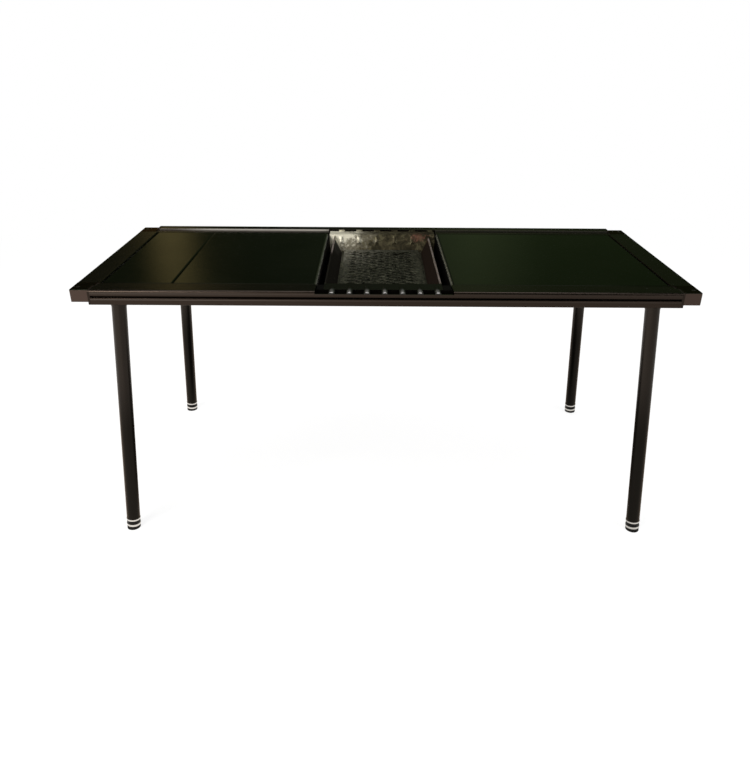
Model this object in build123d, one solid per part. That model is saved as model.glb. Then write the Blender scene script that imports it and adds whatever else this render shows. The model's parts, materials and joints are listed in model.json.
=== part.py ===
from build123d import *

import os
from math import atan2, cos, hypot, sin

# A low camp table built from two extruded rails and two end beams, with lift-out sheet-metal
# panels and a drop-in charcoal brazier. Origin on the ground under the middle of the table,
# X along its length, Y across it (front is -Y), Z up, millimetres.

# Table
TABLE_HEIGHT = 480.0        # ground to the rails' lips
TABLE_LENGTH = 1080.0       # over the end beams
TABLE_DEPTH = 460.0         # over the rails' outer faces
FIT = 0.25                  # clearance round a tenon in its socket

# Rail section, from its outer face inward and from its underside up
RAIL_WIDTH = 49.0
RAIL_HEIGHT = 26.0
RAIL_WALL = 2.0
LIP_WIDTH = 27.0            # raised outer band
LEDGE_DROP = 3.0            # inner ledge below the lip, flush with the panels
NOSE_RADIUS = 4.0
EDGE_RADIUS = 0.8
SLOT_CENTRE = 14.0          # T-slot above the rail's underside
SLOT_MOUTH = 3.8
SLOT_LIP_RADIUS = 0.5       # eased edges of the mouth
CHANNEL_HEIGHT = 7.0
CHANNEL_DEPTH = 4.5
SHELF_TOP = 8.0             # panel shelf above the rail's underside
SHELF_WIDTH = 12.0
RAIL_INSET = 34.0           # a rail's end from the end beam's outer face
RAIL_CAP_THICKNESS = 4.0

# End beams and corner blocks
BEAM_WIDTH = 40.0
BEAM_HEIGHT = 20.0
BEAM_WALL = 2.0
BEAM_EDGE = 2.0
BEAM_DROP = 2.0             # beam tops below the rails' lips
BLOCK_DEPTH = 40.0
BLOCK_CORNER = 3.0
BLOCK_EDGE = 1.0
TENON_LENGTH = 30.0
SCREW_SETBACK = 10.5        # screw centre from the block's outer end
SCREW_ASIDE = 16.0          # screw centre from the block's side face
SCREW_HEAD_RADIUS = 3.5
SCREW_HEAD_HEIGHT = 2.4
SCREW_SHANK_RADIUS = 2.0
SCREW_LENGTH = 14.0
SCREW_SOCKET = 2.5          # across the flats of its hex socket
SCREW_FIT = 0.2             # head in its counterbore

# Lift-out panels
PANEL_SHEET = 1.5
PANEL_BEND = 2.5
PANEL_BAY_BEND = 6.0        # rounder edges beside the brazier
PANEL_SIDE_GAP = 0.5        # to each rail
PANEL_END_GAP = 2.0         # to the end beam
PANEL_SEAM = 1.0            # between two panels
HALF_PANEL_LENGTH = 122.5
UNIT_PANEL_LENGTH = 253.0
BAY_LENGTH = 236.0          # open length for the brazier

# Brazier case
CASE_SHEET = 1.2
CASE_END_GAP = 1.0
CASE_TOP_HALF = 179.0       # half depth of its mouth
CASE_FLOOR_HALF = 166.5
CASE_DEPTH = 40.0           # below its seat on the rails
SEAT_DROP = 6.0             # milled rail seat below the rails' lips
CASE_RIM_LAP = 1.5          # rim onto the front web

# Firebox
BOX_SHEET = 1.2
BOX_END_GAP = 1.5           # rear wall to the case's ends
BOX_TOP_HALF = 175.0
BOX_FLOOR_HALF = 163.0
BOX_DEPTH = 38.4            # rim top to the underside of the floor
BOX_LEFT_INSET = 11.0       # left wall's top from the end of the rim
BOX_RIGHT_INSET = 14.0
BOX_SIDE_SLOPE = 16.0       # how far an end wall's foot stands in from its top
SIDE_WALL_DROP = 4.0        # rolled edges below the rim
ROLL_RADIUS = 1.8
FRONT_STRIP = 31.0          # plain band of the front rim
FINGER_PITCH = 30.2
FINGER_WIDTH = 10.0
FINGER_STOP = 1.0           # finger tips from the rail's outer face
FINGER_MARGIN = 10.1        # last finger's middle to the right end wall
TAB_PITCH = 39.2            # tabs turned up from the rear rim
TAB_WIDTH = 13.0
TAB_MARGIN = 9.2            # last tab's middle to the rim's right end
TAB_GAP = 0.5               # to the rear lip
TAB_DROP = 0.4              # below the rear lip's top
TAB_BEND = 1.0
BEAD_RISE = 1.2
BEAD_WIDTH = 7.0
BEAD_LENGTH = 36.0
BEAD_MARGIN = 2.0           # bead's end from the finger's tip
WALL_BEAD_WIDTH = 10.0
WALL_BEAD_LENGTH = 20.0
WALL_BEAD_DROP = 11.5       # its middle below the rim, down the wall

# Charcoal grate
GRATE_END_GAP = 5.0         # to the foot of each end wall
GRATE_SIDE_GAP = 6.0        # to the foot of the front and rear walls
GRATE_SHEET = 1.5
GRATE_HEIGHT = 7.5          # above the firebox floor
MESH_LONG = 29.0            # expanded-metal pitch
MESH_SHORT = 18.0
STRAND = 3.0
GRATE_MARGIN = 5.0

# Legs
LEG_RADIUS = 12.5
LEG_WALL = 2.0
LEG_TOP_INSET = 80.8        # leg axis under the rail, from the end beam's outer face
LEG_TOP_SETBACK = 13.0      # leg axis under the rail, from the rail's outer face
LEG_SPLAY_X = 30.6          # how far a foot stands out from the leg's top
LEG_SPLAY_Y = 27.7
HEAD_RADIUS = 13.0
HEAD_HEIGHT = 5.0
STUD_RADIUS = 5.0
STUD_RISE = 8.3             # above the rail's underside
STUD_FIT = 0.2
NUT_FLATS = 17.0
NUT_HEIGHT = 6.0

# Feet, along the leg from the ground
PAD_HEIGHT = 7.0
RING_RADIUS = 13.0
LOWER_RING_HEIGHT = 4.0
COLLAR_HEIGHT = 7.7
FOOT_GAP = 0.3              # collar to the upper ring when screwed home
UPPER_RING_HEIGHT = 3.0
INSERT_LENGTH = 24.0
INSERT_FIT = 0.1
STEM_RADIUS = 4.0
STEM_FIT = 0.08
STEM_LENGTH = 34.0

LEFT, RIGHT = -1, 1
FRONT, REAR = -1, 1
CORNERS = {
    "front_left": (LEFT, FRONT),
    "front_right": (RIGHT, FRONT),
    "rear_left": (LEFT, REAR),
    "rear_right": (RIGHT, REAR),
}

# Levels
rail_bottom = TABLE_HEIGHT - RAIL_HEIGHT
ledge_top = TABLE_HEIGHT - LEDGE_DROP
shelf_top = rail_bottom + SHELF_TOP
seat_level = TABLE_HEIGHT - SEAT_DROP
box_seat = seat_level + CASE_SHEET
box_rim_top = box_seat + BOX_SHEET
beam_top = TABLE_HEIGHT - BEAM_DROP
block_bottom = rail_bottom + RAIL_WALL

# Places along X
half_length = TABLE_LENGTH / 2
beam_inner = half_length - BEAM_WIDTH
rail_end = half_length - RAIL_INSET
half_panel_start = -beam_inner + PANEL_END_GAP
unit_panel_start = half_panel_start + HALF_PANEL_LENGTH + PANEL_SEAM
bay_start = unit_panel_start + UNIT_PANEL_LENGTH
bay_end = bay_start + BAY_LENGTH
case_start = bay_start + CASE_END_GAP
case_end = bay_end - CASE_END_GAP
box_start = case_start + BOX_END_GAP
box_end = case_end - BOX_END_GAP
box_left = box_start + BOX_LEFT_INSET
box_right = box_end - BOX_RIGHT_INSET

# Places along Y
half_depth = TABLE_DEPTH / 2
rail_inner = half_depth - RAIL_WIDTH
lip_inner = half_depth - LIP_WIDTH
block_outer = rail_inner + BLOCK_DEPTH

# Leg geometry
leg_lean = hypot(LEG_SPLAY_X, LEG_SPLAY_Y)
leg_axis_length = hypot(leg_lean, rail_bottom)
tube_bottom = PAD_HEIGHT + LOWER_RING_HEIGHT + COLLAR_HEIGHT + FOOT_GAP + UPPER_RING_HEIGHT
tube_top = leg_axis_length - HEAD_HEIGHT
leg_bore = LEG_RADIUS - LEG_WALL


def slab(x_from, x_to, y_from, y_to, z_from, z_to):
    """A rectangular block between two opposite corners."""
    middle = ((x_from + x_to) / 2, (y_from + y_to) / 2, (z_from + z_to) / 2)
    return Pos(*middle) * Box(abs(x_to - x_from), abs(y_to - y_from), abs(z_to - z_from))


def corner_of(face, across, up):
    """The vertex of a flat face nearest a point in its own plane."""
    return face.vertices().sort_by_distance((across, up, 0))[0]


def disc(radius, start, height, bore=0.0):
    """A cylinder or ring that stands on local Z = start."""
    solid = Pos(0, 0, start + height / 2) * Cylinder(radius, height)
    if bore > 0:
        solid -= Pos(0, 0, start + height / 2) * Cylinder(bore, height)
    return solid


# Rails

rail_plane = Plane(origin=(0, -half_depth, rail_bottom), x_dir=(0, 1, 0), z_dir=(1, 0, 0))


def rail_outline():
    """The rail's contour without its shelf: a lip with a rounded nose and a lower ledge."""
    ledge = RAIL_HEIGHT - LEDGE_DROP
    contour = make_face(
        Polyline(
            (0, 0),
            (RAIL_WIDTH, 0),
            (RAIL_WIDTH, ledge),
            (LIP_WIDTH, ledge),
            (LIP_WIDTH, RAIL_HEIGHT),
            (0, RAIL_HEIGHT),
            close=True,
        )
    )
    contour = fillet(corner_of(contour, 0, RAIL_HEIGHT), NOSE_RADIUS)
    contour = fillet(corner_of(contour, 0, 0), EDGE_RADIUS)
    contour = fillet(corner_of(contour, RAIL_WIDTH, 0), EDGE_RADIUS)
    return fillet(corner_of(contour, LIP_WIDTH, RAIL_HEIGHT), EDGE_RADIUS)


def rectangle(left, right, low, high):
    """A rectangle in the rail's section plane."""
    return Pos((left + right) / 2, (low + high) / 2) * Rectangle(right - left, high - low)


def tenon_cell():
    """The rail's closed inner cell, under the ledge."""
    return rectangle(
        LIP_WIDTH, RAIL_WIDTH - RAIL_WALL, RAIL_WALL, RAIL_HEIGHT - LEDGE_DROP - RAIL_WALL
    )


def rail_section():
    """The whole extrusion: two cells, a T-slot in its own housing and a shelf for the panels."""
    shelf = rectangle(RAIL_WIDTH, RAIL_WIDTH + SHELF_WIDTH, SHELF_TOP - RAIL_WALL, SHELF_TOP)
    outer_cell = rectangle(RAIL_WALL, LIP_WIDTH - RAIL_WALL, RAIL_WALL, RAIL_HEIGHT - RAIL_WALL)
    outer_cell = fillet(
        corner_of(outer_cell, RAIL_WALL, RAIL_HEIGHT - RAIL_WALL), NOSE_RADIUS - RAIL_WALL
    )
    half_channel = CHANNEL_HEIGHT / 2
    housing = rectangle(
        0,
        RAIL_WALL + CHANNEL_DEPTH + RAIL_WALL,
        SLOT_CENTRE - half_channel - RAIL_WALL,
        SLOT_CENTRE + half_channel + RAIL_WALL,
    )
    channel = rectangle(
        RAIL_WALL, RAIL_WALL + CHANNEL_DEPTH, SLOT_CENTRE - half_channel, SLOT_CENTRE + half_channel
    )
    mouth = rectangle(0, RAIL_WALL, SLOT_CENTRE - SLOT_MOUTH / 2, SLOT_CENTRE + SLOT_MOUTH / 2)
    section = (rail_outline() + shelf) - (outer_cell - housing) - tenon_cell() - channel - mouth
    for edge_of_mouth in (SLOT_CENTRE - SLOT_MOUTH / 2, SLOT_CENTRE + SLOT_MOUTH / 2):
        section = fillet(corner_of(section, 0, edge_of_mouth), SLOT_LIP_RADIUS)
    return section


def leg_top(side, face):
    """Where a leg's axis meets the rail's underside."""
    return side * (half_length - LEG_TOP_INSET), face * (half_depth - LEG_TOP_SETBACK)


def plain_rail():
    """The front extrusion cut to length, its shelf stopped short of the end beams."""
    reach = rail_end - RAIL_CAP_THICKNESS
    bar = extrude(rail_plane * rail_section(), amount=reach, both=True)
    for side in (LEFT, RIGHT):
        bar -= slab(
            side * (beam_inner - FIT),
            side * half_length,
            -rail_inner,
            -rail_inner + SHELF_WIDTH + FIT,
            rail_bottom,
            TABLE_HEIGHT,
        )
        x, y = leg_top(side, FRONT)
        bar -= Pos(x, y, rail_bottom) * Cylinder(STUD_RADIUS + STUD_FIT, RAIL_WALL * 2)
    shelf_cut = slab(
        bay_start, bay_end, -rail_inner, -rail_inner + SHELF_WIDTH, rail_bottom, TABLE_HEIGHT
    )
    return bar - shelf_cut


def front_rail():
    """The front rail: its lip is milled open over the bay, so that the brazier's fingers vent."""
    vent = slab(bay_start, bay_end, -half_depth, -lip_inner, box_seat, TABLE_HEIGHT)
    seat = slab(
        bay_start, bay_end, -lip_inner - RAIL_WALL, -rail_inner, seat_level, TABLE_HEIGHT
    )
    return plain_rail() - vent - seat


def rear_rail():
    """The rear rail keeps its lip; only the ledge is milled for the brazier's seat."""
    seat = slab(bay_start, bay_end, lip_inner, rail_inner, seat_level, TABLE_HEIGHT)
    return mirror(plain_rail(), about=Plane.XZ) - seat


def rail_cap(side, face):
    """A cap of the rail's own contour, with a window for the corner block's tenon."""
    section = rail_outline() - tenon_cell()
    cap = extrude(rail_plane * section, amount=RAIL_CAP_THICKNESS)
    cap = Pos(rail_end - RAIL_CAP_THICKNESS, 0, 0) * cap
    return place_at_corner(cap, side, face)


def place_at_corner(solid, side, face):
    """Moves a solid that was made at the front right corner to any of the four."""
    if side == LEFT:
        solid = mirror(solid, about=Plane.YZ)
    if face == REAR:
        solid = mirror(solid, about=Plane.XZ)
    return solid


# End beams and corner blocks


def end_beam(side):
    """A rectangular tube between two corner blocks."""
    tube = slab(
        beam_inner, half_length, -rail_inner, rail_inner, beam_top - BEAM_HEIGHT, beam_top
    )
    tube = fillet(tube.edges().filter_by(Axis.Y), BEAM_EDGE)
    tube -= slab(
        beam_inner + BEAM_WALL,
        half_length - BEAM_WALL,
        -rail_inner,
        rail_inner,
        beam_top - BEAM_HEIGHT + BEAM_WALL,
        beam_top - BEAM_WALL,
    )
    return tube if side == RIGHT else mirror(tube, about=Plane.YZ)


def screw_place():
    """The front right corner screw's centre."""
    return half_length - SCREW_SETBACK, -block_outer + SCREW_ASIDE


def corner_block(side, face):
    """A cast corner with one tenon in the rail's inner cell and one in the end beam."""
    block = slab(rail_end, half_length, -block_outer, -rail_inner, block_bottom, beam_top)
    outer_edge = block.edges().filter_by(Axis.Z).sort_by_distance(
        (half_length, -block_outer, beam_top)
    )[0]
    block = fillet(outer_edge, BLOCK_CORNER)
    block = chamfer(block.faces().sort_by(Axis.Z)[-1].edges().filter_by(
        lambda edge: edge.center().Y < -rail_inner - FIT and edge.center().X > rail_end + FIT
    ), BLOCK_EDGE)
    rail_tenon = slab(
        rail_end - TENON_LENGTH,
        rail_end,
        -lip_inner + FIT,
        -rail_inner - RAIL_WALL - FIT,
        block_bottom + FIT,
        ledge_top - RAIL_WALL - FIT,
    )
    beam_tenon = slab(
        rail_end + FIT,
        half_length - BEAM_WALL - FIT,
        -rail_inner,
        -rail_inner + TENON_LENGTH,
        beam_top - BEAM_HEIGHT + BEAM_WALL + FIT,
        beam_top - BEAM_WALL - FIT,
    )
    x, y = screw_place()
    bore = Pos(x, y, 0) * disc(
        SCREW_SHANK_RADIUS, beam_top - SCREW_HEAD_HEIGHT - SCREW_LENGTH, SCREW_LENGTH
    )
    counterbore = Pos(x, y, 0) * disc(
        SCREW_HEAD_RADIUS + SCREW_FIT, beam_top - SCREW_HEAD_HEIGHT, SCREW_HEAD_HEIGHT
    )
    block = block + rail_tenon + beam_tenon - bore - counterbore
    return place_at_corner(block, side, face)


def corner_screw(side, face):
    """A socket-head screw, flush in the top of its block."""
    x, y = screw_place()
    head = disc(SCREW_HEAD_RADIUS, beam_top - SCREW_HEAD_HEIGHT, SCREW_HEAD_HEIGHT)
    shank = disc(SCREW_SHANK_RADIUS, beam_top - SCREW_HEAD_HEIGHT - SCREW_LENGTH, SCREW_LENGTH)
    socket = RegularPolygon(SCREW_SOCKET / 2, 6, major_radius=False)
    recess = Pos(0, 0, beam_top) * extrude(socket, amount=-SCREW_HEAD_HEIGHT / 2)
    return place_at_corner(Pos(x, y, 0) * (head + shank - recess), side, face)


# Panels


def bent_profile(left, right, top, left_bend, right_bend):
    """A folded pan's outline seen from one side, its two upper corners bent."""
    outline = make_face(
        Polyline((left, shelf_top), (left, top), (right, top), (right, shelf_top), close=True)
    )
    outline = fillet(corner_of(outline, left, top), left_bend)
    return fillet(corner_of(outline, right, top), right_bend)


def bent_slab(x_from, x_to, reach, top, left_bend, right_bend, side_bend):
    """A slab with its four upper edges bent over, and the bends mitred at its corners."""
    lengthwise = bent_profile(x_from, x_to, top, left_bend, right_bend)
    crosswise = bent_profile(-reach, reach, top, side_bend, side_bend)
    return extrude(Plane.XZ * lengthwise, amount=reach, both=True) & extrude(
        Plane.YZ.offset(x_from) * crosswise, amount=x_to - x_from
    )


def panel(x_from, x_to, left_bend=PANEL_BEND, right_bend=PANEL_BEND):
    """A folded pan: flush with the rails' ledges, its skirts standing on their shelves."""
    reach = rail_inner - PANEL_SIDE_GAP
    outer = bent_slab(x_from, x_to, reach, ledge_top, left_bend, right_bend, PANEL_BEND)
    hollow = bent_slab(
        x_from + PANEL_SHEET,
        x_to - PANEL_SHEET,
        reach - PANEL_SHEET,
        ledge_top - PANEL_SHEET,
        left_bend - PANEL_SHEET,
        right_bend - PANEL_SHEET,
        PANEL_BEND - PANEL_SHEET,
    )
    return outer - hollow


# Brazier


def trough(top_half, floor_half, floor, top, x_from, x_to):
    """A solid trough along X whose front and rear faces slope in towards the floor."""
    section = make_face(
        Polyline(
            (-top_half, top), (-floor_half, floor), (floor_half, floor), (top_half, top), close=True
        )
    )
    return extrude(Plane.YZ.offset(x_from) * section, amount=x_to - x_from)


def half_at(top_half, floor_half, floor, top, level):
    """Half depth of a trough at a level."""
    return floor_half + (top_half - floor_half) * (level - floor) / (top - floor)


def thin_trough(top_half, floor_half, floor, top, sheet, outer_x, inner_x):
    """A sheet-metal trough: the solid trough less the one inside its walls and floor."""
    lean = atan2(top_half - floor_half, top - floor)
    wall = sheet / cos(lean)
    inner_floor = half_at(top_half, floor_half, floor, top, floor + sheet) - wall
    outside = trough(top_half, floor_half, floor, top, *outer_x)
    return outside - trough(top_half - wall, inner_floor, floor + sheet, top, *inner_x)


def brazier_case():
    """The outer tub: it hangs by its front and rear rims in the milled rail seats."""
    floor = seat_level - CASE_DEPTH
    case = thin_trough(
        CASE_TOP_HALF,
        CASE_FLOOR_HALF,
        floor,
        box_seat,
        CASE_SHEET,
        (case_start, case_end),
        (case_start + CASE_SHEET, case_end - CASE_SHEET),
    )
    front_rim = slab(
        case_start,
        case_end,
        -lip_inner - CASE_RIM_LAP,
        -CASE_TOP_HALF + CASE_SHEET,
        seat_level,
        box_seat,
    )
    rear_rim = slab(
        case_start,
        case_end,
        CASE_TOP_HALF - CASE_SHEET,
        lip_inner - TAB_GAP,
        seat_level,
        box_seat,
    )
    return case + front_rim + rear_rim


def pressed_bead(width, length, rise):
    """A round-backed stiffening bead along local Y with sloped ends, standing on local Z = 0."""
    radius = (width * width / 4 + rise * rise) / (2 * rise)
    back = Pos(0, 0, rise - radius) * Rot(90, 0, 0) * Cylinder(radius, length)
    low, high = length / 2, (length - width) / 2
    side_view = make_face(Polyline((-low, 0), (-high, rise), (high, rise), (low, 0), close=True))
    return back & extrude(Plane.YZ * side_view, amount=width, both=True)


def row_places(row_start, row_end, margin, pitch):
    """X of the centre lines in a row of fingers, set out from the row's right end."""
    count = int((row_end - row_start - margin * 2) / pitch) + 1
    return [row_end - margin - index * pitch for index in range(count)]


def box_end_profile(side, outward):
    """An end wall of the firebox in side view, or with outward all that lies beyond it."""
    floor = box_rim_top - BOX_DEPTH
    edge = box_rim_top - SIDE_WALL_DROP
    top_x = box_right if side == RIGHT else box_left
    foot_x = top_x - side * BOX_SIDE_SLOPE
    if outward:
        beyond = top_x + side * BAY_LENGTH
        return make_face(
            Polyline(
                (foot_x, floor),
                (top_x, edge),
                (top_x, TABLE_HEIGHT),
                (beyond, TABLE_HEIGHT),
                (beyond, floor),
                close=True,
            )
        )
    sheet = side * BOX_SHEET
    return make_face(
        Polyline(
            (foot_x, floor), (top_x, edge), (top_x - sheet, edge), (foot_x - sheet, floor), close=True
        )
    )


def box_end_wall(side):
    """One sloped end wall of the firebox, with a rolled top edge."""
    floor = box_rim_top - BOX_DEPTH
    edge = box_rim_top - SIDE_WALL_DROP
    half_edge = half_at(BOX_TOP_HALF, BOX_FLOOR_HALF, floor, box_rim_top, edge)
    wall = extrude(Plane.XZ * box_end_profile(side, False), amount=BOX_TOP_HALF, both=True)
    wall &= trough(BOX_TOP_HALF, BOX_FLOOR_HALF, floor, box_rim_top, box_start, box_end)
    top_x = box_right if side == RIGHT else box_left
    roll_x = top_x - side * BOX_SHEET / 2
    return wall + Pos(roll_x, 0, edge) * Rot(90, 0, 0) * Cylinder(ROLL_RADIUS, half_edge * 2)


def front_rim():
    """The firebox's front rim: a plain strip, then fingers that each carry a pressed bead."""
    strip_edge = BOX_TOP_HALF + FRONT_STRIP
    finger_tip = half_depth - FINGER_STOP
    rim = slab(box_left, box_right, -strip_edge, -BOX_TOP_HALF + BOX_SHEET, box_seat, box_rim_top)
    bead_middle = -finger_tip + BEAD_MARGIN + BEAD_LENGTH / 2
    bead = pressed_bead(BEAD_WIDTH, BEAD_LENGTH, BEAD_RISE)
    for x in row_places(box_left, box_right, FINGER_MARGIN, FINGER_PITCH):
        left, right = x - FINGER_WIDTH / 2, x + FINGER_WIDTH / 2
        rim += slab(left, right, -finger_tip, -strip_edge, box_seat, box_rim_top)
        rim += Pos(x, bead_middle, box_rim_top) * bead
    return rim


def rear_rim():
    """The rear rim with its turned-up tabs, and a pressed bead on the wall below each tab."""
    edge = lip_inner - TAB_GAP
    rim = slab(box_start, box_end, BOX_TOP_HALF - BOX_SHEET, edge, box_seat, box_rim_top)
    tab_profile = make_face(
        Polyline(
            (edge - BOX_SHEET - TAB_BEND, box_seat),
            (edge, box_seat),
            (edge, TABLE_HEIGHT - TAB_DROP),
            (edge - BOX_SHEET, TABLE_HEIGHT - TAB_DROP),
            (edge - BOX_SHEET, box_rim_top + TAB_BEND),
            (edge - BOX_SHEET - TAB_BEND, box_rim_top),
            close=True,
        )
    )
    lean = atan2(BOX_TOP_HALF - BOX_FLOOR_HALF, BOX_DEPTH)
    wall_y = BOX_TOP_HALF - BOX_SHEET / cos(lean) - WALL_BEAD_DROP * sin(lean)
    wall_z = box_rim_top - WALL_BEAD_DROP * cos(lean)
    bead = pressed_bead(WALL_BEAD_WIDTH, WALL_BEAD_LENGTH, BEAD_RISE)
    for x in row_places(box_start, box_end, TAB_MARGIN, TAB_PITCH):
        tab = extrude(Plane.YZ.offset(x - TAB_WIDTH / 2) * tab_profile, amount=TAB_WIDTH)
        rim += tab
        if x + WALL_BEAD_WIDTH < box_right:
            wall = Plane(
                origin=(x, wall_y, wall_z), x_dir=(1, 0, 0), z_dir=(0, -cos(lean), sin(lean))
            )
            rim += wall * bead
    return rim


def firebox():
    """The stainless tray: sloped walls, rolled ends and comb-like rims with pressed beads."""
    floor = box_rim_top - BOX_DEPTH
    box = thin_trough(
        BOX_TOP_HALF,
        BOX_FLOOR_HALF,
        floor,
        box_rim_top,
        BOX_SHEET,
        (box_start, box_end),
        (box_start, box_end),
    )
    for side in (LEFT, RIGHT):
        beyond = extrude(Plane.XZ * box_end_profile(side, True), amount=half_depth)
        under = mirror(beyond, about=Plane.XZ) & slab(
            box_start, box_end, 0, half_depth, floor, floor + BOX_SHEET * 2
        )
        box = box - beyond - under + box_end_wall(side)
    return box + front_rim() + rear_rim()


def charcoal_grate():
    """An expanded-metal plate with its two ends turned down as feet."""
    floor = box_rim_top - BOX_DEPTH + BOX_SHEET
    end_inset = BOX_SIDE_SLOPE + BOX_SHEET + GRATE_END_GAP
    left, right = box_left + end_inset, box_right - end_inset
    half_width = (
        half_at(BOX_TOP_HALF, BOX_FLOOR_HALF, floor - BOX_SHEET, box_rim_top, floor)
        - BOX_SHEET
        - GRATE_SIDE_GAP
    )
    diamond = make_face(
        Polyline(
            (-(MESH_LONG - STRAND * 2) / 2, 0),
            (0, -(MESH_SHORT - STRAND) / 2),
            ((MESH_LONG - STRAND * 2) / 2, 0),
            (0, (MESH_SHORT - STRAND) / 2),
            close=True,
        )
    )
    columns = int((right - left - 2 * (GRATE_SHEET + GRATE_MARGIN)) / MESH_LONG)
    rows = int(2 * (half_width - GRATE_MARGIN) / MESH_SHORT)
    places = list(GridLocations(MESH_LONG, MESH_SHORT, columns, rows))
    places += list(GridLocations(MESH_LONG, MESH_SHORT, columns - 1, rows - 1))
    plate = Rectangle(right - left, half_width * 2) - [place * diamond for place in places]
    plate = Pos((left + right) / 2, 0, floor + GRATE_HEIGHT) * plate
    feet = [
        slab(end, end + inward * GRATE_SHEET, -half_width, half_width, floor, floor + GRATE_HEIGHT)
        for end, inward in ((left, 1), (right, -1))
    ]
    return extrude(plate, amount=-GRATE_SHEET) + feet


# Legs and feet


def leg_plane(side, face):
    """Local Z runs up the leg's axis, from where that axis meets the ground."""
    x, y = leg_top(side, face)
    lean_x, lean_y = side * LEG_SPLAY_X, face * LEG_SPLAY_Y
    return Plane(
        origin=(x + lean_x, y + lean_y, 0), x_dir=(rail_bottom, 0, lean_x),
        z_dir=(-lean_x, -lean_y, rail_bottom),
    )


def leg_tube(side, face):
    """A leg's tube and its head: a round wedge cut flat under the rail, with a stud upwards."""
    x, y = leg_top(side, face)
    tube = disc(LEG_RADIUS, tube_bottom, tube_top - tube_bottom, leg_bore)
    leg = leg_plane(side, face) * (tube + disc(HEAD_RADIUS, tube_top, HEAD_HEIGHT * 2))
    reach = HEAD_RADIUS * 3
    leg -= slab(x - reach, x + reach, y - reach, y + reach, rail_bottom, rail_bottom + reach)
    return leg + Pos(x, y, 0) * disc(STUD_RADIUS, rail_bottom, STUD_RISE)


def leg_nut(side, face):
    """A hex nut on the stud, inside the rail."""
    x, y = leg_top(side, face)
    hexagon = RegularPolygon(NUT_FLATS / 2, 6, major_radius=False) - Circle(STUD_RADIUS + STUD_FIT)
    return Pos(x, y, rail_bottom + RAIL_WALL) * extrude(hexagon, amount=NUT_HEIGHT)


def upper_ring():
    """The bright ring that closes the leg's lower end, turned with its threaded insert."""
    start = tube_bottom - UPPER_RING_HEIGHT
    bore = STEM_RADIUS + STEM_FIT
    ring = disc(RING_RADIUS, start, UPPER_RING_HEIGHT, bore)
    return ring + disc(leg_bore - INSERT_FIT, start, INSERT_LENGTH, bore)


def lower_ring():
    """The bright ring between the pad and the collar."""
    return disc(RING_RADIUS, PAD_HEIGHT, LOWER_RING_HEIGHT, STEM_RADIUS)


def foot_collar():
    """The collar that is turned to level the table."""
    return disc(LEG_RADIUS, PAD_HEIGHT + LOWER_RING_HEIGHT, COLLAR_HEIGHT, STEM_RADIUS)


def foot_stem():
    """The adjusting screw, carried by the pad and guided by the plug."""
    return disc(STEM_RADIUS, PAD_HEIGHT, STEM_LENGTH)


def foot_pad(side, face):
    """The rubber pad, cut flat on the ground."""
    plane = leg_plane(side, face)
    pad = plane * disc(LEG_RADIUS, -PAD_HEIGHT, PAD_HEIGHT * 2)
    ground = plane.origin
    reach = LEG_RADIUS * 3
    return pad - slab(
        ground.X - reach, ground.X + reach, ground.Y - reach, ground.Y + reach, -reach, 0
    )


# Assembly

wide_panel_end = beam_inner - PANEL_END_GAP
parts = {
    "front_rail": front_rail(),
    "rear_rail": rear_rail(),
    "end_beam_left": end_beam(LEFT),
    "end_beam_right": end_beam(RIGHT),
    "half_panel": panel(half_panel_start, half_panel_start + HALF_PANEL_LENGTH),
    "unit_panel": panel(unit_panel_start, bay_start, right_bend=PANEL_BAY_BEND),
    "wide_panel": panel(bay_end, wide_panel_end, left_bend=PANEL_BAY_BEND),
    "brazier_case": brazier_case(),
    "firebox": firebox(),
    "charcoal_grate": charcoal_grate(),
    "corner_screws": Compound([corner_screw(*corner) for corner in CORNERS.values()]),
    "leg_nuts": Compound([leg_nut(*corner) for corner in CORNERS.values()]),
}
for name, corner in CORNERS.items():
    along_leg = leg_plane(*corner)
    parts["rail_cap_" + name] = rail_cap(*corner)
    parts["corner_block_" + name] = corner_block(*corner)
    parts["leg_tube_" + name] = leg_tube(*corner)
    parts["upper_ring_" + name] = along_leg * upper_ring()
    parts["foot_collar_" + name] = along_leg * foot_collar()
    parts["lower_ring_" + name] = along_leg * lower_ring()
    parts["foot_stem_" + name] = along_leg * foot_stem()
    parts["foot_pad_" + name] = foot_pad(*corner)

os.makedirs("parts", exist_ok=True)
for name, solid in parts.items():
    export_step(solid, f"parts/{name}.step")
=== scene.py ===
import json
import math

import bpy
from mathutils import Matrix, Vector

# A low camp table with a drop-in charcoal brazier: finishes, stage, lights and camera.
# Every piece is its CAD solid. Lengths are in metres in the CAD's frame: origin on the ground
# under the middle of the table, X along it, front at -Y, Z up.

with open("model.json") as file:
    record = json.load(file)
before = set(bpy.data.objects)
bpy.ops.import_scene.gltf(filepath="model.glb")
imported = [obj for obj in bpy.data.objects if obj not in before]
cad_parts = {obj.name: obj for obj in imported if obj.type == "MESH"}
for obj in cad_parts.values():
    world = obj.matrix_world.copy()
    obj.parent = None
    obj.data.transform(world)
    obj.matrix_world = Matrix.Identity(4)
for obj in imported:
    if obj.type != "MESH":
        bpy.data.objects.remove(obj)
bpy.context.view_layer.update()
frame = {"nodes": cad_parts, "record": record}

# ---------------------------------------------------------------- camera

CAMERA_PLACE = (-0.022, -1.358, 0.861)
CAMERA_PITCH = 25.99          # degrees below the horizon
CAMERA_YAW = -0.19
CAMERA_ROLL = 0.40
CAMERA_REACH = (0.01, 50.0)
FOCAL_PIXELS = 700.0
FRAME_HEIGHT = 764.0          # the photograph's long side
SENSOR = 36.0


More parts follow.
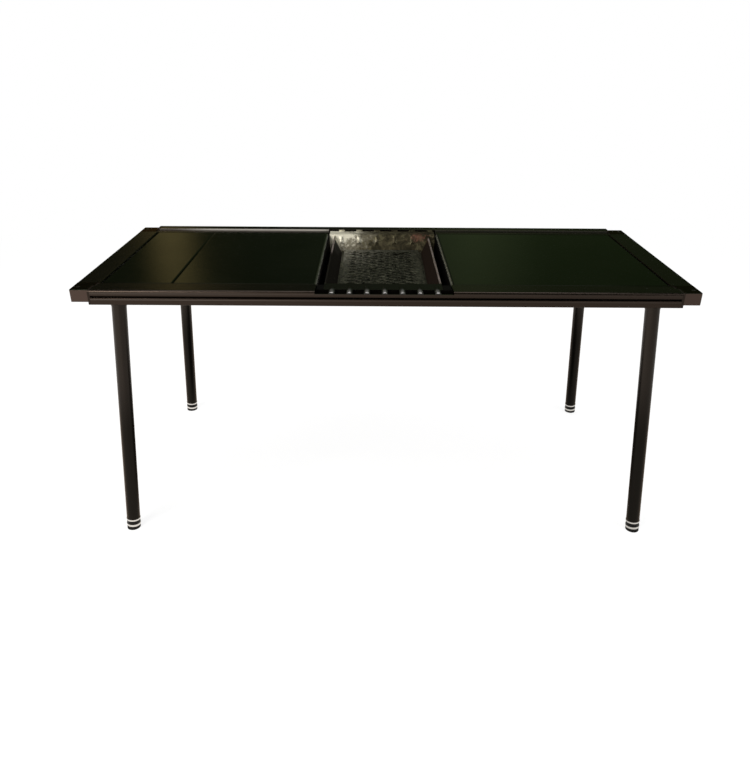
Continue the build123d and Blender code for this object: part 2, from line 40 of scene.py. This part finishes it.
def add_camera():
    data = bpy.data.cameras.new("camera")
    data.sensor_width = SENSOR
    data.lens = FOCAL_PIXELS / FRAME_HEIGHT * SENSOR
    data.clip_start, data.clip_end = CAMERA_REACH
    camera = bpy.data.objects.new("camera", data)
    bpy.context.scene.collection.objects.link(camera)
    turn = Matrix.Rotation(math.radians(CAMERA_YAW), 4, "Z")
    tilt = Matrix.Rotation(math.radians(90.0 - CAMERA_PITCH), 4, "X")
    roll = Matrix.Rotation(math.radians(CAMERA_ROLL), 4, "Z")
    camera.matrix_world = Matrix.Translation(CAMERA_PLACE) @ turn @ tilt @ roll
    bpy.context.scene.camera = camera


# ---------------------------------------------------------------- node trees


class Nodes:
    """Short ways to add nodes to a tree. A value is a number or an output of a node."""

    def __init__(self, tree):
        self.tree = tree

    def node(self, kind, **values):
        made = self.tree.nodes.new(kind)
        for name, value in values.items():
            if name in made.inputs:
                made.inputs[name].default_value = value
            else:
                setattr(made, name, value)
        return made

    def link(self, out, into):
        self.tree.links.new(out, into)

    def ramp(self, value, stops):
        """A colour ramp; stops are (position, colour)."""
        ramp = self.node("ShaderNodeValToRGB")
        elements = ramp.color_ramp.elements
        while len(elements) < len(stops):
            elements.new(0.5)
        for element, (position, colour) in zip(elements, stops):
            element.position = position
            element.color = (*colour, 1.0)
        self.link(value, ramp.inputs["Fac"])
        return ramp.outputs["Color"]

    def ranged(self, value, start=(0.0, 1.0), end=(0.0, 1.0), kind="LINEAR"):
        """Maps one range of a value onto another and holds it at the ends."""
        made = self.node("ShaderNodeMapRange", interpolation_type=kind)
        for name, number in zip(("From Min", "From Max", "To Min", "To Max"), (*start, *end)):
            made.inputs[name].default_value = number
        self.link(value, made.inputs["Value"])
        return made.outputs["Result"]

    def fade(self, value, none, full):
        """0 at none, 1 at full, smooth between; either may be the smaller one."""
        end = (0.0, 1.0) if none < full else (1.0, 0.0)
        return self.ranged(value, (min(none, full), max(none, full)), end, "SMOOTHSTEP")

    def math(self, operation, first, second=0.0):
        made = self.node("ShaderNodeMath", operation=operation)
        for socket, value in zip(made.inputs, (first, second)):
            if isinstance(value, float):
                socket.default_value = value
            else:
                self.link(value, socket)
        return made.outputs["Value"]

    def product(self, first, *others):
        for other in others:
            first = self.math("MULTIPLY", first, other)
        return first

    def mix(self, factor, first, second):
        """Blends two colours, each a tuple or an output."""
        made = self.node("ShaderNodeMix", data_type="RGBA")
        self.link(factor, made.inputs[0])
        for socket, colour in ((made.inputs[6], first), (made.inputs[7], second)):
            if isinstance(colour, tuple):
                socket.default_value = (*colour, 1.0)
            else:
                self.link(colour, socket)
        return made.outputs[2]

    def blend(self, factor, first, second):
        """Blends two shaders."""
        made = self.node("ShaderNodeMixShader")
        for socket, out in zip(made.inputs, (factor, first, second)):
            self.link(out, socket)
        return made.outputs["Shader"]

    def by_ray(self, other, mirrored, seen):
        """One shader for the camera, one for mirrors and glass, and another for all else."""
        rays = self.node("ShaderNodeLightPath").outputs
        clear = self.math("MAXIMUM", rays["Is Glossy Ray"], rays["Is Transmission Ray"])
        return self.blend(rays["Is Camera Ray"], self.blend(clear, other, mirrored), seen)


class Finish(Nodes):
    """A material: a node tree around one Principled shader, in the piece's CAD coordinates."""

    def __init__(self, name, **values):
        self.material = bpy.data.materials.new(name)
        self.material.use_nodes = True
        super().__init__(self.material.node_tree)
        self.shader = self.tree.nodes["Principled BSDF"]
        self.place = self.node("ShaderNodeTexCoord").outputs["Object"]
        for socket, value in values.items():
            self.shader.inputs[socket.replace("_", " ")].default_value = value

    def drive(self, name, value):
        self.link(value, self.shader.inputs[name])

    def colour(self):
        """What the base colour is linked to now."""
        return self.shader.inputs["Base Color"].links[0].from_socket

    def stretched(self, scale):
        """The place, scaled differently along each axis."""
        mapping = self.node("ShaderNodeMapping", Scale=scale)
        self.link(self.place, mapping.inputs["Vector"])
        return mapping.outputs["Vector"]

    def noise(self, scale, detail=2.0, roughness=0.5, along=(1, 1, 1), swirl=0.0):
        texture = self.node(
            "ShaderNodeTexNoise", Scale=scale, Detail=detail, Roughness=roughness, Distortion=swirl
        )
        self.link(self.stretched(along), texture.inputs["Vector"])
        return texture.outputs["Fac"]

    def axis(self, name):
        """One coordinate: X, Y or Z."""
        split = self.node("ShaderNodeSeparateXYZ")
        self.link(self.place, split.inputs["Vector"])
        return split.outputs[name]

    def along(self, name, none, full):
        """A fade along one axis."""
        return self.fade(self.axis(name), none, full)

    def aside(self, name, none, full, middle=0.0):
        """A fade on both sides of a middle plane, over distances from it."""
        distance = self.math("ABSOLUTE", self.math("SUBTRACT", self.axis(name), middle))
        return self.fade(distance, none, full)

    def distance(self, spot, squeeze):
        """How far the place is from a spot, with each axis scaled."""
        away = self.node("ShaderNodeVectorMath", operation="DISTANCE")
        self.link(self.stretched(squeeze), away.inputs[0])
        away.inputs[1].default_value = [a * b for a, b in zip(spot, squeeze)]
        return away.outputs["Value"]

    def shade_without_gloss(self, colour, where):
        """Sets the base colour, and takes the coat's clear gloss away where the mask is, so that
        it mirrors little there: painted shade.
        """
        self.drive("Base Color", colour)
        self.drive("Metallic", where)

    def bump(self, value, strength, depth):
        bump = self.node("ShaderNodeBump", Strength=strength, Distance=depth)
        self.link(value, bump.inputs["Height"])
        self.drive("Normal", bump.outputs["Normal"])


# ---------------------------------------------------------------- coats and turned metal

# A noise is given as scale, detail, roughness, stretch and swirl, or the first few of these.
COAT_CLOUD = (9.0, 3.0)
COAT_GLOSS = (26.0, 4.0)
COAT_GRAIN = (1400.0, 2.0)    # orange peel
COAT_DEPTH = 0.0004
METAL_CLOUD = (45.0, 3.0)
METAL_GRAIN = (2200.0, 1.0)
METAL_DEPTH = 0.0002
METAL_DIM = 0.8               # its darker patches
CLOUD_STOPS = (0.3, 0.7)
ROUGH_SPREAD = 0.05           # how far roughness varies either way


def coated(name, dark, light, roughness, gloss=0.5, tint=(1, 1, 1), bump=0.12):
    """Powder coat: a fine orange-peel grain, slightly uneven in colour and gloss."""
    paint = Finish(name, Specular_IOR_Level=gloss, Specular_Tint=(*tint, 1.0))
    stops = list(zip(CLOUD_STOPS, (dark, light)))
    paint.drive("Base Color", paint.ramp(paint.noise(*COAT_CLOUD), stops))
    rough = (roughness - ROUGH_SPREAD, roughness + ROUGH_SPREAD)
    paint.drive("Roughness", paint.ranged(paint.noise(*COAT_GLOSS), end=rough))
    paint.bump(paint.noise(*COAT_GRAIN), bump, COAT_DEPTH)
    return paint


def turned(name, colour, roughness, bump=0.1):
    """A turned metal piece with a faint surface grain."""
    metal = Finish(name, Metallic=1.0)
    cloud = metal.noise(*METAL_CLOUD)
    dim = tuple(channel * METAL_DIM for channel in colour)
    metal.drive("Base Color", metal.ramp(cloud, list(zip(CLOUD_STOPS, (dim, colour)))))
    rough = (roughness - ROUGH_SPREAD, roughness + ROUGH_SPREAD)
    metal.drive("Roughness", metal.ranged(cloud, end=rough))
    metal.bump(metal.noise(*METAL_GRAIN), bump, METAL_DEPTH)
    return metal


# ---------------------------------------------------------------- painted highlights and painted shade on the coats

# A pair is a fade, unless its line says otherwise: none at the first number, all at the second.
BAY_CENTRE = -0.0035          # the brazier's bay along X
BAY_SIDES = (0.120, 0.118)    # from the bay's centre

PANEL_BEND_HIGHLIGHT = (0.1225, 0.118)   # a painted highlight on the panels' bends beside the bay, from its centre
HIGHLIGHT_PATCHES = (120.0, 3.0)
HIGHLIGHT_PATCHY = (0.25, 0.6)      # over that noise
# the grey of the painted highlight on those bends
BEND_HIGHLIGHT_GREY = (0.16, 0.16, 0.13)
PANEL_SEAM = (0.1778, 0.1788)    # the panels' front and rear bends, from the middle
# painted shade on the panels' bends along the rails
SEAM_SHADE = (0.006, 0.007, 0.004)

BLOCK_TOP = (0.4768, 0.4776)
# painted shade on the corner blocks' upper faces
BLOCK_TOP_SHADE = (0.013, 0.022, 0.014)

LEG_FADE = (0.34, 0.20)       # heights between which painted shade dulls and darkens the legs
# the strength of the legs' painted shade, and its colour
LEG_SHADE_AMOUNT = 0.65
LEG_FOOT_SHADE = (0.0048, 0.0052, 0.0042)

STEP_FRONT = (0.2022, 0.2028)    # along Y, the rear lip's step lies between these two
STEP_REAR = (0.2034, 0.2031)
STEP_RISE = (0.4766, 0.4771)
STEP_ONSET = (-0.48, -0.37)   # along X, from dim at the left end to bright
STEP_LEFT = (-0.10, -0.14)    # its painted highlight is bright to the left of this, and faint to the right
# the colours of the step's painted highlight: dim, bright and faint
STEP_GLINT_DIM = (0.085, 0.080, 0.068)
STEP_GLINT = (0.46, 0.44, 0.40)
STEP_GLINT_FAINT = (0.020, 0.022, 0.016)
# painted shade on the rear step inside the bay
BAY_STEP_SHADE = (0.002, 0.002, 0.0015)

RAIL_SPAN = (0.454, 0.480)    # heights that the stops below span, the rails' underside and top
RAIL_FACE = (0.2275, 0.2290)
EDGE_HIGHLIGHT_STOPS = [                 # painted highlights up the rails' outer faces: the slot's lower lip, then the nose
    (0.31, (0, 0, 0)),
    (0.385, (1, 1, 1)),
    (0.40, (0, 0, 0)),
    (0.66, (0, 0, 0)),
    (0.82, (0.35, 0.35, 0.35)),
    (0.90, (0, 0, 0)),
]
EDGE_HIGHLIGHT_LEFT = (0.1, -0.5)       # the painted highlight grows to the left
EDGE_HIGHLIGHT_SHARE = (0.22, 1.0)      # its strength at the right and at the left
# the colour of the rails' painted edge highlights
EDGE_HIGHLIGHT_BROWN = (0.085, 0.078, 0.070)


def panel_highlight_and_shade(paint):
    """A painted highlight in grey patches on the panels' bends beside the bay, and painted shade
    on their bends along the rails.
    """
    rub_and_highlight = paint.aside("X", *PANEL_BEND_HIGHLIGHT, BAY_CENTRE)
    patchy = paint.fade(paint.noise(*HIGHLIGHT_PATCHES), *HIGHLIGHT_PATCHY)
    lit_bend = paint.mix(paint.product(rub_and_highlight, patchy), paint.colour(), BEND_HIGHLIGHT_GREY)
    seam_shade = paint.aside("Y", *PANEL_SEAM)
    paint.shade_without_gloss(paint.mix(seam_shade, lit_bend, SEAM_SHADE), seam_shade)
    return paint


def shaded_block_top(paint):
    """Painted shade: the corner blocks' upper faces are darker and greener than their glossy
    sides.
    """
    top = paint.along("Z", *BLOCK_TOP)
    paint.shade_without_gloss(paint.mix(top, paint.colour(), BLOCK_TOP_SHADE), top)
    return paint


def shaded_leg_feet(paint):
    """Painted shade: the legs lose their brown gloss and darken towards the feet."""
    low = paint.product(paint.along("Z", *LEG_FADE), LEG_SHADE_AMOUNT)
    paint.shade_without_gloss(paint.mix(low, paint.colour(), LEG_FOOT_SHADE), low)
    return paint


def frame_highlights_and_shade(paint):
    """Painted highlights on the rails' edges and along the rear step beside the left panels, and
    painted shade on that step in the bay.
    """
    height = paint.ranged(paint.axis("Z"), RAIL_SPAN)
    leftward = paint.ranged(paint.along("X", *EDGE_HIGHLIGHT_LEFT), end=EDGE_HIGHLIGHT_SHARE)
    wear_and_highlight = paint.product(paint.ramp(height, EDGE_HIGHLIGHT_STOPS), paint.aside("Y", *RAIL_FACE), leftward)
    base = paint.mix(wear_and_highlight, paint.colour(), EDGE_HIGHLIGHT_BROWN)

    # the rear step's painted highlight, and painted shade on it inside the bay
    across = paint.product(paint.along("Y", *STEP_FRONT), paint.along("Y", *STEP_REAR))
    step = paint.product(across, paint.along("Z", *STEP_RISE))
    bright = paint.mix(paint.along("X", *STEP_ONSET), STEP_GLINT_DIM, STEP_GLINT)
    rub_and_highlight = paint.mix(paint.along("X", *STEP_LEFT), STEP_GLINT_FAINT, bright)
    in_bay = paint.aside("X", *BAY_SIDES, BAY_CENTRE)
    colour = paint.mix(in_bay, rub_and_highlight, BAY_STEP_SHADE)
    paint.shade_without_gloss(paint.mix(step, base, colour), paint.product(step, in_bay))
    return paint


# ---------------------------------------------------------------- firebox and grate

MOTTLE = (105.0, 5.0, 0.75, (1, 1, 1), 1.4)
BURNT_STOPS = [(0.40, (0.007, 0.008, 0.006)), (0.62, (0.17, 0.17, 0.125))]
PALE_STOPS = [(0.38, (0.03, 0.03, 0.02)), (0.60, (0.52, 0.50, 0.42))]

CLOUDS = (38.0, 5.0, 0.65)    # two noises that make the stains' edges ragged
FINE = (170.0, 4.0, 0.75)
RAGGED = (-0.06, 0.06)        # the range in metres that each shifts them by
# a painted highlight in the firebox's rear left corner, fading outward into heat tint and soot
HIGHLIGHT_CORNER = (-0.108, 0.172, 0.476)
HIGHLIGHT_SQUEEZE = (1.0, 1.0, 2.2)  # how much each axis counts in the distance
HIGHLIGHT_REACH = 0.25            # what the stops span
FIREBOX_STOPS = [             # from the painted highlight in the rear left corner outward, into heat tint and soot
    (0.03, (0.78, 0.75, 0.63)),
    (0.14, (0.26, 0.24, 0.185)),
    (0.34, (0.068, 0.058, 0.035)),
    (1.00, (0.042, 0.036, 0.022)),
]

REAR_WALL = (0.152, 0.160)
PATCH_ONSET = (0.040, 0.105)  # metres from the highlight corner
PATCHES = (62.0, 5.0, 0.72, (1, 1, 1), 0.9)
PATCH_PALE = (0.50, 0.58)     # these two are over that noise
PATCH_SOOTY = (0.47, 0.40)
PATCH_COVER = 0.75
OLIVE = (0.135, 0.122, 0.072)
OLIVE_SOOT = (0.026, 0.024, 0.015)

HEAT_SPOT = (0.076, 0.172, 0.471)
HEAT_SQUEEZE = (1.0, 1.0, 2.2)
HEAT_EDGE = (0.020, 0.004)    # metres from the spot
HEAT_COVER = 0.55
HEAT_RED = (0.24, 0.10, 0.075)

BOX_FLOOR = (0.4415, 0.4400)  # it is burnt below this

BOX_CENTRE = -0.005           # along X
END_WALLS = (0.0855, 0.088)   # from the firebox's centre
END_REAR = (0.160, 0.150)     # along Y they lie between these two
END_FRONT = (-0.172, -0.168)
# the end walls are made darker and less metallic
END_COVER = 0.95
END_HALVES = (-0.02, 0.02)    # from the left wall to the right one
END_DARK_LEFT = (0.008, 0.0075, 0.006)
END_DARK_RIGHT = (0.013, 0.0085, 0.0065)
END_EDGES = (0.4712, 0.4718)  # the walls' rolled edges
WORN_RIGHT = (0.0, 0.01)      # which are rubbed on the right and towards the rear
WORN_REAR = (0.02, 0.10)
WORN_PATCHY = (-0.03, 0.01)   # over the shift that CLOUDS gives
EDGE_PINK = (0.50, 0.42, 0.38)

FRONT_STRIP = (-0.160, -0.168)   # along Y, and all in front of it
# painted shade on the firebox's front strip, and on all in front of it
FRONT_STRIP_SHADE = (0.020, 0.021, 0.014)
FINGERS = (-0.200, -0.226)    # from their roots to their tips
# the finger tips painted lighter grey, and a painted highlight on their beads' tops
FINGER_COVER = 0.3
FINGER_HIGHLIGHT_GREY = (0.20, 0.19, 0.19)
FINGER_BEADS = (0.4765, 0.4768)
BEAD_HIGHLIGHT_GREY = (0.50, 0.48, 0.48)

SHEET_GRAIN = (60.0, 4.0, 0.6, (1, 12, 12))
SHEET_ROUGH = (0.36, 0.56)    # roughness range
REAR_RIM = (0.1735, 0.1745)
RIM_ROUGH = 0.3               # added on the rear rim
SHEET_DENTS = (150.0, 3.0, 0.65)
DENT_STRENGTH = 0.35
DENT_DEPTH = 0.0010

GRATE_LEFT = (0.02, -0.09)    # paler scale towards the rear left corner
GRATE_REAR = (0.0, 0.16)
GRATE_ROUGH = (0.36, 0.60)    # roughness range
GRATE_BUMP = 0.9
GRATE_DEPTH = 0.0030


def used_firebox():
    """Stainless sheet: a painted highlight in its rear left corner, brown with heat tint and soot
    elsewhere.
    """
    metal = Finish("stainless", Specular_IOR_Level=0.0)
    cloud = metal.ranged(metal.noise(*CLOUDS), end=RAGGED)
    fine = metal.ranged(metal.noise(*FINE), end=RAGGED)
    away = metal.math("ADD", metal.distance(HIGHLIGHT_CORNER, HIGHLIGHT_SQUEEZE), cloud)
    away = metal.math("ADD", away, fine)
    base = metal.ramp(metal.fade(away, 0.0, HIGHLIGHT_REACH), FIREBOX_STOPS)

    rear = metal.product(metal.along("Y", *REAR_WALL), metal.fade(away, *PATCH_ONSET))
    patches = metal.noise(*PATCHES)
    for edge, colour in ((PATCH_PALE, OLIVE), (PATCH_SOOTY, OLIVE_SOOT)):
        patch = metal.product(metal.fade(patches, *edge), PATCH_COVER)
        base = metal.mix(metal.product(rear, patch), base, colour)

    away = metal.math("ADD", metal.distance(HEAT_SPOT, HEAT_SQUEEZE), fine)
    hot = metal.product(metal.fade(away, *HEAT_EDGE), HEAT_COVER)
    base = metal.mix(hot, base, HEAT_RED)

    scale = metal.ramp(metal.noise(*MOTTLE), BURNT_STOPS)
    base = metal.mix(metal.along("Z", *BOX_FLOOR), base, scale)

    # the end walls, darker and less metallic
    stretch = metal.product(metal.along("Y", *END_REAR), metal.along("Y", *END_FRONT))
    ends = metal.product(stretch, metal.aside("X", *END_WALLS, BOX_CENTRE))
    end_darkened = metal.product(ends, END_COVER)
    end_dark = metal.mix(metal.along("X", *END_HALVES), END_DARK_LEFT, END_DARK_RIGHT)
    base = metal.mix(end_darkened, base, end_dark)
    wear_and_highlight = metal.math("MAXIMUM", metal.along("X", *WORN_RIGHT), metal.along("Y", *WORN_REAR))
    patchy = metal.product(wear_and_highlight, metal.fade(cloud, *WORN_PATCHY))
    rub_and_highlight = metal.product(ends, metal.along("Z", *END_EDGES), patchy)
    base = metal.mix(rub_and_highlight, base, EDGE_PINK)
    covered = metal.math("SUBTRACT", end_darkened, rub_and_highlight)
    metal.drive("Metallic", metal.math("SUBTRACT", 1.0, covered))

    # painted shade on the front strip, and painted highlights on the finger tips and their beads
    base = metal.mix(metal.along("Y", *FRONT_STRIP), base, FRONT_STRIP_SHADE)
    tips = metal.along("Y", *FINGERS)
    base = metal.mix(metal.product(tips, FINGER_COVER), base, FINGER_HIGHLIGHT_GREY)
    bead_highlight = metal.product(tips, metal.along("Z", *FINGER_BEADS))
    metal.drive("Base Color", metal.mix(bead_highlight, base, BEAD_HIGHLIGHT_GREY))

    grain = metal.ranged(metal.noise(*SHEET_GRAIN), end=SHEET_ROUGH)
    rim = metal.product(metal.along("Y", *REAR_RIM), RIM_ROUGH)
    metal.drive("Roughness", metal.math("ADD", grain, rim))
    metal.bump(metal.noise(*SHEET_DENTS), DENT_STRENGTH, DENT_DEPTH)
    return metal


def used_grate():
    """Expanded steel, burnt to a mottled brown-black with a few pale scale spots."""
    metal = Finish("grate_steel", Metallic=1.0)
    spots = metal.noise(*MOTTLE)
    pale = metal.product(metal.along("X", *GRATE_LEFT), metal.along("Y", *GRATE_REAR))
    burnt = metal.ramp(spots, BURNT_STOPS)
    metal.drive("Base Color", metal.mix(pale, burnt, metal.ramp(spots, PALE_STOPS)))
    metal.drive("Roughness", metal.ranged(spots, end=GRATE_ROUGH))
    metal.bump(spots, GRATE_BUMP, GRATE_DEPTH)
    return metal


# ---------------------------------------------------------------- finish of each slot

BROWN_TINT = (1.0, 0.73, 0.58)


def make_finishes():
    """The finish of each material slot in the record."""
    frame_paint = coated(
        "frame_paint",
        dark=(0.0014, 0.0012, 0.0008),
        light=(0.0024, 0.0020, 0.0014),
        roughness=0.24,
        tint=BROWN_TINT,
    )
    block_paint = coated(
        "block_paint",
        dark=(0.0030, 0.0022, 0.0015),
        light=(0.0055, 0.0040, 0.0028),
        roughness=0.34,
        gloss=1.0,
        tint=(1.0, 0.70, 0.58),
    )
    cap_plastic = coated(
        "cap_plastic",
        dark=(0.0020, 0.0017, 0.0013),
        light=(0.0035, 0.0030, 0.0022),
        roughness=0.45,
        gloss=0.4,
        tint=BROWN_TINT,
    )
    panel_paint = coated(
        "panel_paint",
        dark=(0.0013, 0.0016, 0.0008),
        light=(0.0022, 0.0026, 0.0014),
        roughness=0.13,
    )
    case_paint = coated(
        "case_paint",
        dark=(0.0022, 0.0020, 0.0017),
        light=(0.0030, 0.0026, 0.0022),
        roughness=0.6,
        gloss=0.04,
    )
    leg_paint = coated(
        "leg_paint",
        dark=(0.0022, 0.0016, 0.0012),
        light=(0.0040, 0.0030, 0.0022),
        roughness=0.27,
        gloss=0.42,
        tint=(1.0, 0.84, 0.72),
    )
    collar_plastic = coated(
        "collar_plastic",
        dark=(0.0018, 0.0020, 0.0016),
        light=(0.0030, 0.0032, 0.0026),
        roughness=0.35,
        gloss=0.2,
    )
    foot_rubber = coated(
        "foot_rubber",
        dark=(0.0030, 0.0030, 0.0028),
        light=(0.0050, 0.0050, 0.0046),
        roughness=0.7,
        gloss=0.25,
        bump=0.3,
    )
    return {
        "frame_paint": frame_highlights_and_shade(frame_paint),
        "block_paint": shaded_block_top(block_paint),
        "cap_plastic": cap_plastic,
        "screw_steel": turned("screw_steel", (0.20, 0.19, 0.18), roughness=0.35),
        "panel_paint": panel_highlight_and_shade(panel_paint),
        "case_paint": case_paint,
        "stainless": used_firebox(),
        "grate_steel": used_grate(),
        "leg_paint": shaded_leg_feet(leg_paint),
        "bright_ring": turned("bright_ring", (0.95, 0.94, 0.91), roughness=0.22, bump=0.03),
        "collar_plastic": collar_plastic,
        "stem_steel": turned("stem_steel", (0.45, 0.45, 0.45), roughness=0.3),
        "foot_rubber": foot_rubber,
    }


def finish_nodes():
    """Gives every CAD node the finish of its material slot."""
    finishes = make_finishes()
    for part in frame["record"]["subparts"]:
        piece = frame["nodes"][part["node"]]
        piece.data.materials.clear()
        piece.data.materials.append(finishes[part["material_slot"]].material)


# ---------------------------------------------------------------- stage

WHITE = (1.0, 1.0, 1.0, 1.0)
FLOOR_SIZE = 60.0
FLOOR_COLOUR = (0.86, 0.82, 0.77)      # as it lights the table from below
FLOOR_GLOW = 0.80             # how much of the near floor's white is its own
FLOOR_SHADE = 0.34            # and how much comes from the lamps, which shows the shadow
SHADE_REACH = (0.9, 2.6)      # metres from the table over which the shadow fades out
MIRRORED = [                  # the floor's glow in reflections along X, painted brighter to the left as light from that side
    (0.00, (1.00, 0.95, 0.90)),
    (0.35, (1.00, 0.95, 0.90)),
    (0.50, (0.72, 0.69, 0.65)),
    (1.00, (0.62, 0.60, 0.57)),
]
MIRRORED_REACH = (-1.6, 1.6)  # the range that its stops span
MIRRORED_SHADE = (0.10, 0.09, 0.08)    # and under the table
UNDER_LENGTH = (0.54, 0.36)   # distances from the table's middle
UNDER_DEPTH = (0.34, 0.10)


def add_floor():
    """A white floor that keeps the table's soft shadow near its feet."""
    half = FLOOR_SIZE / 2
    corners = [(-half, -half, 0), (half, -half, 0), (half, half, 0), (-half, half, 0)]
    mesh = bpy.data.meshes.new("floor")
    mesh.from_pydata(corners, [], [(0, 1, 2, 3)])
    floor = bpy.data.objects.new("floor", mesh)
    bpy.context.scene.collection.objects.link(floor)
    paint = Finish(
        "floor_paint", Roughness=1.0, Base_Color=(*FLOOR_COLOUR, 1.0), Specular_IOR_Level=0.0
    )

    reach = paint.node("ShaderNodeVectorMath", operation="LENGTH")
    paint.link(paint.place, reach.inputs[0])
    glow = paint.node("ShaderNodeEmission", Strength=FLOOR_GLOW)
    shade = paint.node("ShaderNodeBsdfDiffuse", Color=(FLOOR_SHADE, FLOOR_SHADE, FLOOR_SHADE, 1))
    near = paint.node("ShaderNodeAddShader")
    paint.link(glow.outputs["Emission"], near.inputs[0])
    paint.link(shade.outputs["BSDF"], near.inputs[1])
    white = paint.node("ShaderNodeEmission", Strength=1.0)
    far = paint.fade(reach.outputs["Value"], *SHADE_REACH)
    seen = paint.blend(far, near.outputs["Shader"], white.outputs["Emission"])

    lit = paint.ramp(paint.ranged(paint.axis("X"), MIRRORED_REACH), MIRRORED)
    under = paint.product(paint.aside("X", *UNDER_LENGTH), paint.aside("Y", *UNDER_DEPTH))
    glare = paint.node("ShaderNodeEmission", Strength=1.0)
    paint.link(paint.mix(under, lit, MIRRORED_SHADE), glare.inputs["Color"])

    shader = paint.by_ray(paint.shader.outputs["BSDF"], glare.outputs["Emission"], seen)
    paint.link(shader, paint.tree.nodes["Material Output"].inputs["Surface"])
    mesh.materials.append(paint.material)


# ---------------------------------------------------------------- world

AMBIENT = 0.42
WHITE_BAND = (-0.01, 0.012)   # sines of elevation where the white backdrop meets the room
ROOM_DEPTH = (-0.1, 0.3)      # Y of the direction, from the room's front to its back
ROOM_FRONT = (0.020, 0.020, 0.016)
ROOM_REACH = (-0.6, 0.6)      # radians either side of straight back that the stops span
ROOM_STOPS = [                # the dim room behind the table, from left to right
    (0.00, (0.010, 0.012, 0.006)),
    (0.232, (0.008, 0.012, 0.004)),
    (0.252, (0.200, 0.160, 0.062)),
    (0.274, (0.190, 0.156, 0.060)),
    (0.294, (0.020, 0.022, 0.009)),
    (0.36, (0.012, 0.018, 0.008)),
    (0.52, (0.020, 0.028, 0.014)),
    (0.62, (0.062, 0.086, 0.036)),
    (0.70, (0.022, 0.036, 0.012)),
    (1.00, (0.010, 0.020, 0.005)),
]
WINDOW_PLACE = (-0.42, -0.88, 0.22)    # direction of a pale window behind the camera
WINDOW_REACH = (0.80, 0.98)   # cosines between which it fades in
WINDOW_COLOUR = (0.92, 0.89, 0.80)


def set_world():
    """White for the camera; in reflections a white band, a dim room and one pale window."""
    world = bpy.data.worlds.new("studio")
    bpy.context.scene.world = world
    world.use_nodes = True
    sky = Nodes(world.node_tree)
    sky.tree.nodes.clear()

    way = sky.node("ShaderNodeTexCoord").outputs["Generated"]
    split = sky.node("ShaderNodeSeparateXYZ")
    sky.link(way, split.inputs["Vector"])
    bearing = sky.math("ARCTAN2", split.outputs["X"], split.outputs["Y"])
    behind = sky.ramp(sky.ranged(bearing, ROOM_REACH), ROOM_STOPS)
    room = sky.mix(sky.fade(split.outputs["Y"], *ROOM_DEPTH), ROOM_FRONT, behind)
    facing = sky.node("ShaderNodeVectorMath", operation="DOT_PRODUCT")
    sky.link(way, facing.inputs[0])
    facing.inputs[1].default_value = Vector(WINDOW_PLACE).normalized()
    room = sky.mix(sky.fade(facing.outputs["Value"], *WINDOW_REACH), room, WINDOW_COLOUR)
    room = sky.mix(sky.fade(split.outputs["Z"], *WHITE_BAND), WHITE[:3], room)

    ambient = sky.node("ShaderNodeBackground", Color=WHITE, Strength=AMBIENT)
    mirrored = sky.node("ShaderNodeBackground", Strength=1.0)
    sky.link(room, mirrored.inputs["Color"])
    seen = sky.node("ShaderNodeBackground", Color=WHITE, Strength=1.0)
    shaders = [shader.outputs["Background"] for shader in (ambient, mirrored, seen)]
    output = sky.node("ShaderNodeOutputWorld")
    sky.link(sky.by_ray(*shaders), output.inputs["Surface"])


# ---------------------------------------------------------------- lamps

LAMPS = {                     # place, what it points at, size, power in watts, colour
    "key": ((-1.5, -1.7, 2.0), (0, 0, 0.45), (1.4, 1.0), 38, (1.0, 0.985, 0.95)),
    "fill": ((1.9, -1.3, 1.6), (0, 0, 0.4), (1.6, 1.2), 14, (0.97, 0.99, 1.0)),
    "top": ((0.0, 0.3, 2.6), (0, 0, 0.4), (2.4, 1.6), 22, (1.0, 1.0, 1.0)),
}


def add_lamps():
    for name, (place, target, size, power, colour) in LAMPS.items():
        data = bpy.data.lights.new(name, "AREA")
        data.shape = "RECTANGLE"
        data.size, data.size_y = size
        data.energy = power
        data.color = colour
        lamp = bpy.data.objects.new(name, data)
        bpy.context.scene.collection.objects.link(lamp)
        lamp.location = place
        lamp.rotation_mode = "QUATERNION"
        aim = Vector(target) - Vector(place)
        lamp.rotation_quaternion = aim.to_track_quat("-Z", "Y")


finish_nodes()
add_camera()
add_floor()
set_world()
add_lamps()
bpy.context.scene.view_settings.view_transform = "Standard"
